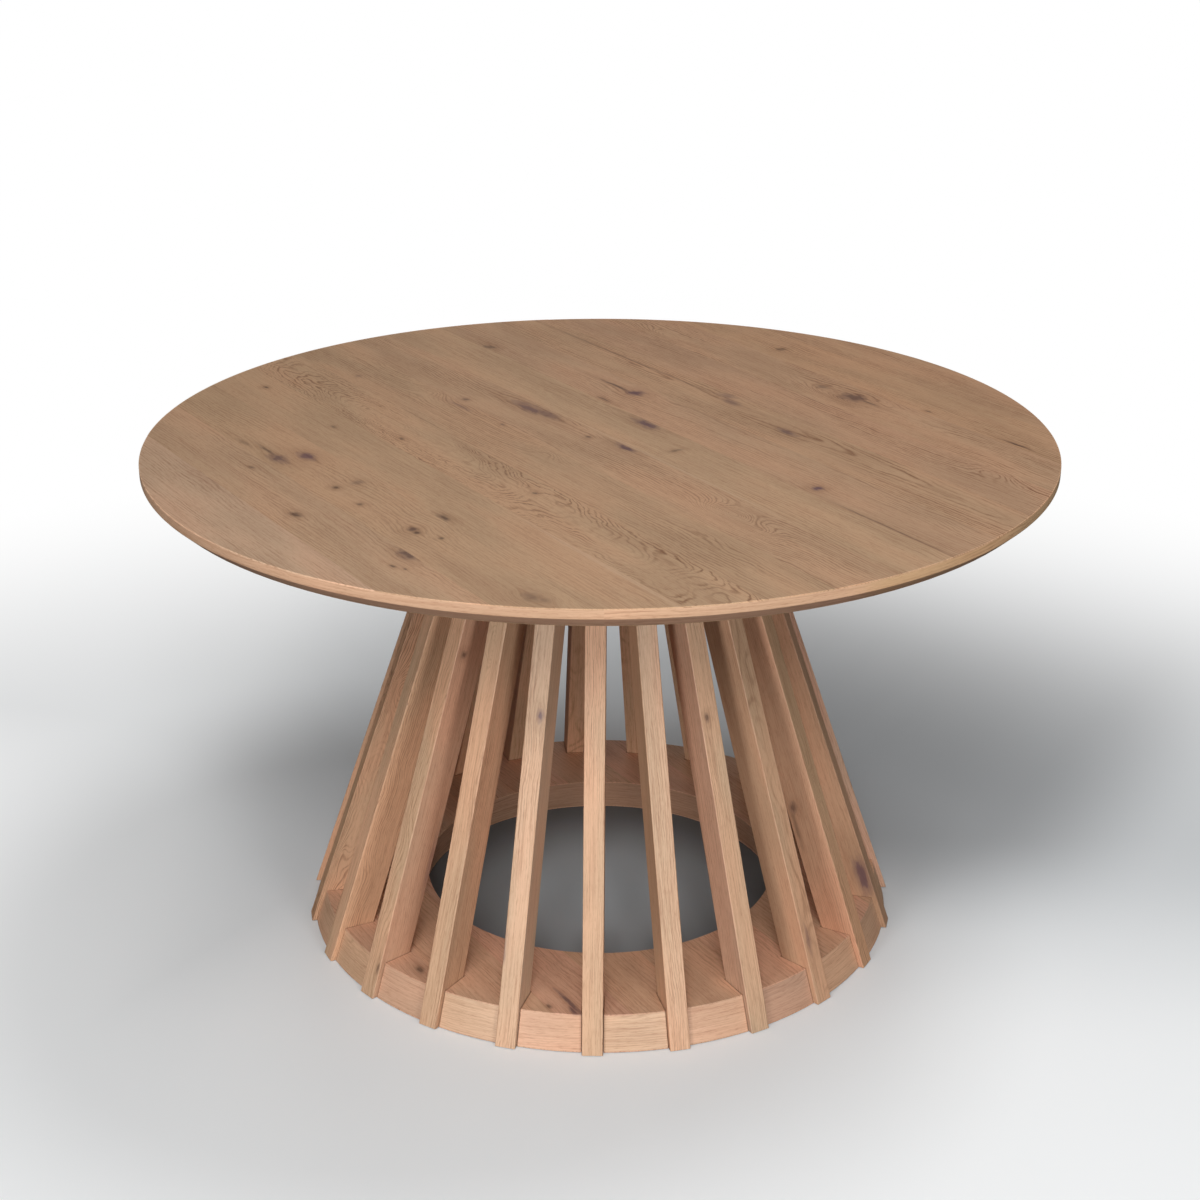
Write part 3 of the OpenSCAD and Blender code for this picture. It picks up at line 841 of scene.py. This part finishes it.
def makeFloor():
    bm = bmesh.new()
    bmesh.ops.create_grid(bm, x_segments=1, y_segments=1, size=floorSet["size"] / 2)
    mesh = bpy.data.meshes.new("studioFloor")
    bm.to_mesh(mesh)
    bm.free()
    floor = bpy.data.objects.new("studioFloor", mesh)
    bpy.context.scene.collection.objects.link(floor)
    material, look = newLook("studioFloor")
    x, y, z = look.coordinates()
    angle, reach = look.around(x, y)
    seen = look.node("ShaderNodeLightPath", None, None, "Is Camera Ray")
    paintedFloor = look.blend(seen, paint(*floorSet["bounce"]), floorColour(look, x, y, reach))
    matt = look.node("ShaderNodeBsdfPrincipled", None, {
        "Base Color": paintedFloor, "Roughness": floorSet["roughness"], "Specular IOR Level": floorSet["gloss"]})
    glow = look.node("ShaderNodeEmission", None, {"Color": (1, 1, 1, 1), "Strength": 1.0})
    both = look.node("ShaderNodeMixShader", None, {0: floorFade(look, x, y, reach) * seen, 1: matt, 2: glow})
    # from underneath the floor is left out, so that the lower side of the table can be looked at
    under = look.node("ShaderNodeNewGeometry", None, None, "Backfacing") * seen
    clear = look.node("ShaderNodeBsdfTransparent")
    both = look.node("ShaderNodeMixShader", None, {0: under, 1: both, 2: clear})
    look.node("ShaderNodeOutputMaterial", None, {"Surface": both})
    mesh.materials.append(material)


makeFloor()
print("floor laid")


lightSet = {
    "ambient": 0.075,
    "aim": (0.0, 0.0, 0.4),
    "lamps": {
        "front": {"place": (0.0, -4.9, 4.05), "size": 2.2, "power": 160.0},
        "lowLeft": {"place": (-2.6, -5.0, 1.4), "size": 1.6, "power": 114.0},
        "lowRight": {"place": (2.6, -5.0, 1.4), "size": 1.6, "power": 91.0},
        "high": {"place": (-0.6, -2.6, 4.6), "size": 1.6, "power": 24.0},
        "back": {"place": (1.4, 0.6, 4.6), "size": 2.0, "power": 64.0},
        # the rear one only lifts the far side, and would glare on the tabletop
        "rear": {"place": (-0.3, 5.2, 1.1), "size": 2.4, "power": 68.0, "mirrored": False},
    },
}


def makeLight():
    world = bpy.data.worlds.new("studioRoom")
    bpy.context.scene.world = world
    world.use_nodes = True
    look = Look(world.node_tree)
    dim = look.node("ShaderNodeBackground", None, {"Color": (1, 1, 1, 1), "Strength": lightSet["ambient"]})
    white = look.node("ShaderNodeBackground", None, {"Color": (1, 1, 1, 1), "Strength": 1.0})
    seen = look.node("ShaderNodeLightPath", None, None, "Is Camera Ray")
    both = look.node("ShaderNodeMixShader", None, {0: seen, 1: dim, 2: white})
    look.node("ShaderNodeOutputWorld", None, {"Surface": both})
    for name, lamp in lightSet["lamps"].items():
        light = bpy.data.lights.new(name + "Lamp", "AREA")
        light.shape, light.size, light.energy = "DISK", lamp["size"], lamp["power"]
        holder = bpy.data.objects.new(name + "Lamp", light)
        bpy.context.scene.collection.objects.link(holder)
        holder.location = lamp["place"]
        holder.visible_glossy = lamp.get("mirrored", True)
        toward = Vector(lightSet["aim"]) - Vector(lamp["place"])
        holder.rotation_euler = toward.to_track_quat("-Z", "Y").to_euler()


makeLight()
print("lamps hung")


cameraSet = {
    "lens": 62.41,
    "sensor": 36.0,
    "place": (0.0677, -2.8540, 1.6719),
    "tilt": 67.559,
    "turn": 1.359,
}


def placeCamera():
    scene = bpy.context.scene
    camera = bpy.data.objects.new("tableCamera", bpy.data.cameras.new("tableCamera"))
    scene.collection.objects.link(camera)
    camera.data.lens, camera.data.sensor_width = cameraSet["lens"], cameraSet["sensor"]
    camera.location = cameraSet["place"]
    camera.rotation_euler = (math.radians(cameraSet["tilt"]), 0, math.radians(cameraSet["turn"]))
    scene.camera = camera
    scene.view_settings.view_transform = "Standard"


placeCamera()
print("camera placed")
